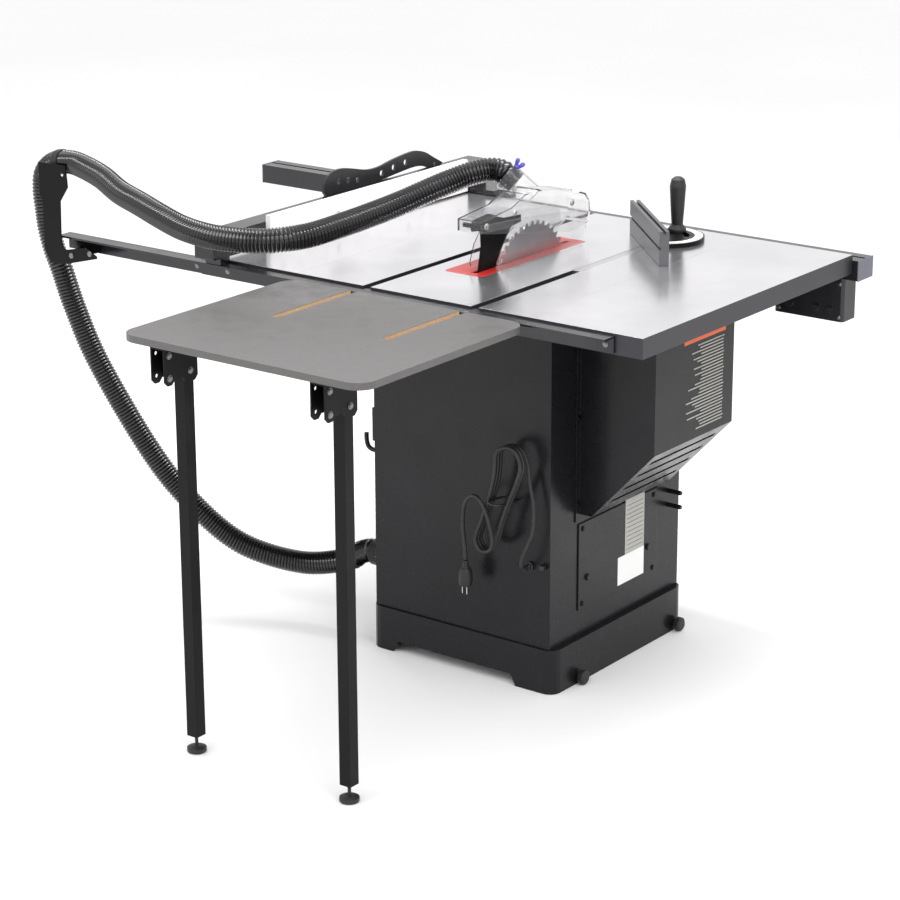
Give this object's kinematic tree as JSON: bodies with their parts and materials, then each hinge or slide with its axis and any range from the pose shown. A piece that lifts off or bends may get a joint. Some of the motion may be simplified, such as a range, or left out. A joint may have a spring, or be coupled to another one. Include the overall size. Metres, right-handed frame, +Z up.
{
  "type": "cabinet table saw",
  "caption": "Left-tilting cabinet table saw with rip fence, miter gauge, clear blade guard, overarm dust hose and folding-leg outfeed table.",
  "frame": {"origin": "centre of the footprint on the floor, taken without the hose and the mains cord", "axes": "+Z up, +Y the way the wood is fed (towards the outfeed table), +X to the operator's right"},
  "size_m": [1.579, 1.429, 1.0348],
  "materials": {
    "black_paint": "semi-gloss powder coat",
    "ground_iron": "ground and polished",
    "casting": "as cast",
    "steel": "machined",
    "red_plastic": "moulded",
    "green_plastic": "moulded",
    "clear_plastic": "clear moulded",
    "clamp_plastic": "moulded",
    "rubber": "moulded",
    "hose_plastic": "corrugated",
    "black_plastic": "moulded",
    "aluminium": "extruded, anodised",
    "white_board": "low-friction facing",
    "laminate": "laminate over board"
  },
  "bodies": {
    "stand": {"base_plinth": "black_paint", "cabinet_shell": "black_paint", "lower_side_panel": "black_paint", "main_table": "ground_iron", "left_wing": "ground_iron", "right_wing": "ground_iron", "throat_insert": "red_plastic", "front_trunnion": "casting", "rear_trunnion": "casting", "dust_hose": "hose_plastic", "hose_hanger": "black_paint", "port_hose_clamp": "clamp_plastic", "front_rail": "black_paint", "rear_rail": "black_paint", "switch_box": "black_plastic", "outfeed_panel": "laminate", "left_leg_bracket": "black_paint", "right_leg_bracket": "black_paint", "power_cord": "rubber", "cord_plug": "rubber"},
    "tilt_unit": {"tilt_carriage": "casting", "splitter": "black_paint"},
    "raise_unit": {"arbor_bracket": "casting", "motor": "black_paint", "drive_belt": "rubber"},
    "arbor": {"arbor_shaft": "steel", "arbor_pulley": "steel", "blade": "steel", "arbor_nut": "steel"},
    "motor_rotor": {"motor_pulley": "steel"},
    "lift_screw": {"elevating_screw": "steel"},
    "raise_wheel": {"raise_shaft": "steel", "raise_handwheel": "black_plastic"},
    "raise_grip": {"raise_crank_grip": "black_plastic"},
    "tilt_wheel": {"tilt_worm_shaft": "steel", "tilt_handwheel": "black_plastic"},
    "tilt_grip": {"tilt_crank_grip": "black_plastic"},
    "hood": {"guard_hood": "clear_plastic", "hood_hose_clamp": "clamp_plastic"},
    "left_shield": {"left_side_shield": "clear_plastic"},
    "right_shield": {"right_side_shield": "clear_plastic"},
    "side_cover": {"motor_cover": "black_paint"},
    "start_key": {"start_button": "green_plastic"},
    "stop_key": {"stop_paddle": "red_plastic"},
    "fence": {"fence_tube": "black_paint", "fence_face": "white_board", "fence_head": "black_paint"},
    "fence_lever": {"fence_lock_lever": "black_plastic"},
    "stick": {"push_stick": "black_plastic"},
    "miter_slide_bar": {"miter_bar": "steel"},
    "miter_protractor": {"miter_head": "black_paint", "miter_fence": "aluminium"},
    "miter_knob": {"miter_grip": "rubber"},
    "outfeed_leg_left": {"left_leg": "black_paint"},
    "outfeed_leg_right": {"right_leg": "black_paint"},
    "foot_left": {"left_foot_pad": "rubber"},
    "foot_right": {"right_foot_pad": "rubber"},
    "wheel_rear": {"rear_base_wheel": "rubber"},
    "wheel_front": {"front_base_wheel": "rubber"}
  },
  "joints": [
    {"name": "blade_tilt", "type": "hinge", "parent": "stand", "child": "tilt_unit", "pos_m": [-0.2485, -0.2095, 0.834], "axis": [0, -1, 0], "range_deg": [0, 45], "deforming": ["dust_hose"]},
    {"name": "blade_raise", "type": "slide", "parent": "tilt_unit", "child": "raise_unit", "axis": [0, 0, 1], "range_m": [-0.077, 0]},
    {"name": "arbor_spin", "type": "hinge", "parent": "raise_unit", "child": "arbor", "pos_m": [-0.2485, -0.2095, 0.777], "axis": [1, 0, 0], "continuous": true},
    {"name": "motor_spin", "type": "hinge", "parent": "raise_unit", "child": "motor_rotor", "pos_m": [-0.3335, -0.2245, 0.564], "axis": [1, 0, 0], "continuous": true},
    {"name": "lift_screw_spin", "type": "hinge", "parent": "tilt_unit", "child": "lift_screw", "pos_m": [-0.2785, -0.1395, 0.714], "axis": [0, 0, 1], "range_deg": [-2170, 5]},
    {"name": "raise_wheel_spin", "type": "hinge", "parent": "tilt_unit", "child": "raise_wheel", "pos_m": [-0.2785, -0.3145, 0.634], "axis": [0, -1, 0], "range_deg": [-2170, 5]},
    {"name": "raise_grip_spin", "type": "hinge", "parent": "raise_wheel", "child": "raise_grip", "pos_m": [-0.2785, -0.5395, 0.714], "axis": [0, 1, 0], "continuous": true},
    {"name": "tilt_wheel_spin", "type": "hinge", "parent": "stand", "child": "tilt_wheel", "pos_m": [-0.1485, -0.4135, 0.592], "axis": [1, 0, 0], "range_deg": [-5, 1805]},
    {"name": "tilt_grip_spin", "type": "hinge", "parent": "tilt_wheel", "child": "tilt_grip", "pos_m": [0.0565, -0.4135, 0.672], "axis": [1, 0, 0], "continuous": true},
    {"name": "hood_lift", "type": "hinge", "parent": "tilt_unit", "child": "hood", "pos_m": [-0.2485, -0.0195, 0.929], "axis": [-1, 0, 0], "range_deg": [0, 40], "deforming": ["dust_hose"]},
    {"name": "left_shield_lift", "type": "hinge", "parent": "hood", "child": "left_shield", "pos_m": [-0.2815, -0.0195, 0.929], "axis": [-1, 0, 0], "range_deg": [0, 40]},
    {"name": "right_shield_lift", "type": "hinge", "parent": "hood", "child": "right_shield", "pos_m": [-0.2155, -0.0195, 0.929], "axis": [-1, 0, 0], "range_deg": [0, 12]},
    {"name": "side_cover_swing", "type": "hinge", "parent": "stand", "child": "side_cover", "pos_m": [-0.4653, -0.3805, 0.57], "axis": [0, 0, 1], "range_deg": [0, 85]},
    {"name": "start_press", "type": "slide", "parent": "stand", "child": "start_key", "axis": [0, 1, 0], "range_m": [0, 0.0035], "stiffness_N_per_m": 400, "springref_m": -0.001},
    {"name": "stop_press", "type": "hinge", "parent": "stand", "child": "stop_key", "pos_m": [-0.6505, -0.6525, 0.757], "axis": [1, 0, 0], "range_deg": [0, 3.2], "stiffness_Nm_per_rad": 1.5, "springref_deg": -2.86},
    {"name": "fence_slide", "type": "slide", "parent": "stand", "child": "fence", "axis": [1, 0, 0], "range_m": [-0.355, 0.33]},
    {"name": "fence_lever_lift", "type": "hinge", "parent": "fence", "child": "fence_lever", "pos_m": [0.2275, -0.6885, 0.81], "axis": [-1, 0, 0], "range_deg": [0, 60]},
    {"name": "push_stick_lift", "type": "slide", "parent": "fence", "child": "stick", "axis": [0, 0, 1], "range_m": [0, 0.1]},
    {"name": "miter_slide", "type": "slide", "parent": "stand", "child": "miter_slide_bar", "axis": [0, 1, 0], "range_m": [-0.05, 0.19]},
    {"name": "miter_swivel", "type": "hinge", "parent": "miter_slide_bar", "child": "miter_protractor", "pos_m": [-0.4005, -0.4795, 0.839], "axis": [0, 0, -1], "range_deg": [-65, 15]},
    {"name": "miter_knob_turn", "type": "hinge", "parent": "miter_slide_bar", "child": "miter_knob", "pos_m": [-0.4005, -0.5225, 0.894], "axis": [0, 0, 1], "range_deg": [0, 180]},
    {"name": "left_leg_fold", "type": "hinge", "parent": "stand", "child": "outfeed_leg_left", "pos_m": [-0.4495, 0.6435, 0.765], "axis": [-1, 0, 0], "range_deg": [0, 48]},
    {"name": "right_leg_fold", "type": "hinge", "parent": "stand", "child": "outfeed_leg_right", "pos_m": [-0.0735, 0.6435, 0.765], "axis": [-1, 0, 0], "range_deg": [0, 48]},
    {"name": "left_foot_turn", "type": "hinge", "parent": "outfeed_leg_left", "child": "foot_left", "pos_m": [-0.4495, 0.6435, 0.01], "axis": [0, 0, 1], "continuous": true},
    {"name": "right_foot_turn", "type": "hinge", "parent": "outfeed_leg_right", "child": "foot_right", "pos_m": [-0.0735, 0.6435, 0.01], "axis": [0, 0, 1], "continuous": true},
    {"name": "rear_wheel_spin", "type": "hinge", "parent": "stand", "child": "wheel_rear", "pos_m": [-0.4855, -0.0675, 0.0154], "axis": [1, 0, 0], "continuous": true},
    {"name": "front_wheel_spin", "type": "hinge", "parent": "stand", "child": "wheel_front", "pos_m": [-0.4855, -0.4295, 0.0154], "axis": [1, 0, 0], "continuous": true}
  ],
  "couplings": [
    {"joint": "motor_spin", "follows": "arbor_spin", "ratio": 0.88889},
    {"joint": "lift_screw_spin", "follows": "blade_raise", "rad_per_m": 490.87},
    {"joint": "raise_wheel_spin", "follows": "blade_raise", "rad_per_m": 490.87},
    {"joint": "tilt_wheel_spin", "follows": "blade_tilt", "ratio": 40},
    {"joint": "left_shield_lift", "follows": "blade_tilt", "ratio": 0.8}
  ]
}
